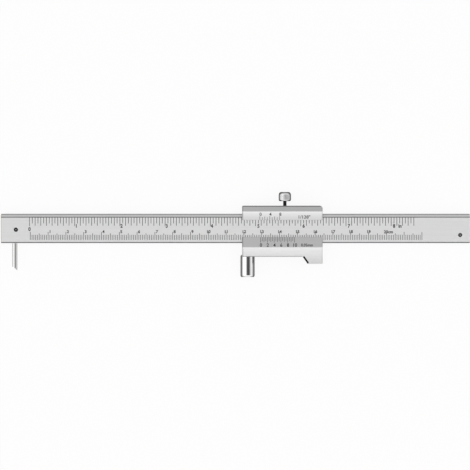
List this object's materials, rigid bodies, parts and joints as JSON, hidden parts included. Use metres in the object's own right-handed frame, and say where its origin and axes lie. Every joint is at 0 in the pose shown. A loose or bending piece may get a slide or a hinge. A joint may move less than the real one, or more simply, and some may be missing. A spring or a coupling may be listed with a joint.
{
  "type": "marking caliper",
  "caption": "Flat marking caliper: graduated beam with a scribing needle, and a sliding vernier head with a guide roller, thumb rest and knurled lock screw.",
  "frame": {"origin": "middle of the tool's box, on the face that the slider's back rests on", "axes": "+X along the beam towards rising graduations, +Y across the beam towards the lock screw, +Z out of the graduated face"},
  "size_m": [0.2636, 0.0478, 0.009],
  "materials": {
    "beam_steel": "satin ground",
    "slider_steel": "satin ground",
    "needle_steel": "polished",
    "roller_steel": "polished",
    "knob_steel": "satin knurled",
    "black_steel": "black oxide",
    "axle_steel": "turned",
    "spring_bronze": "rolled",
    "pad_brass": "turned"
  },
  "bodies": {
    "beam": {"beam": "beam_steel", "needle_clamp_screw": "black_steel", "end_stop_screw": "black_steel"},
    "needle": {"scriber_needle": "needle_steel"},
    "slider": {"slider": "slider_steel", "gib_spring": "spring_bronze", "gib_screw_left": "black_steel", "gib_screw_right": "black_steel", "roller_axle": "axle_steel"},
    "lock_pad": {"lock_pad": "pad_brass"},
    "lock_screw": {"lock_stud": "black_steel", "lock_knob": "knob_steel"},
    "roller": {"guide_roller": "roller_steel"}
  },
  "joints": [
    {"name": "slider_travel", "type": "slide", "parent": "beam", "child": "slider", "axis": [1, 0, 0], "range_m": [-0.125, 0.076]},
    {"name": "needle_adjust", "type": "slide", "parent": "beam", "child": "needle", "axis": [0, -1, 0], "range_m": [-0.0008, 0.003]},
    {"name": "roller_spin", "type": "hinge", "parent": "slider", "child": "roller", "pos_m": [0.0068, -0.01758, 0.0045], "axis": [0, 1, 0], "continuous": true},
    {"name": "lock_advance", "type": "slide", "parent": "slider", "child": "lock_pad", "axis": [0, -1, 0], "range_m": [-0.000399, 0.0000997]},
    {"name": "lock_turn", "type": "hinge", "parent": "lock_pad", "child": "lock_screw", "pos_m": [0.02775, 0.01912, 0.0045], "axis": [0, -1, 0], "range_deg": [-360, 90]}
  ],
  "couplings": [
    {"joint": "lock_turn", "follows": "lock_advance", "rad_per_m": 15708}
  ]
}
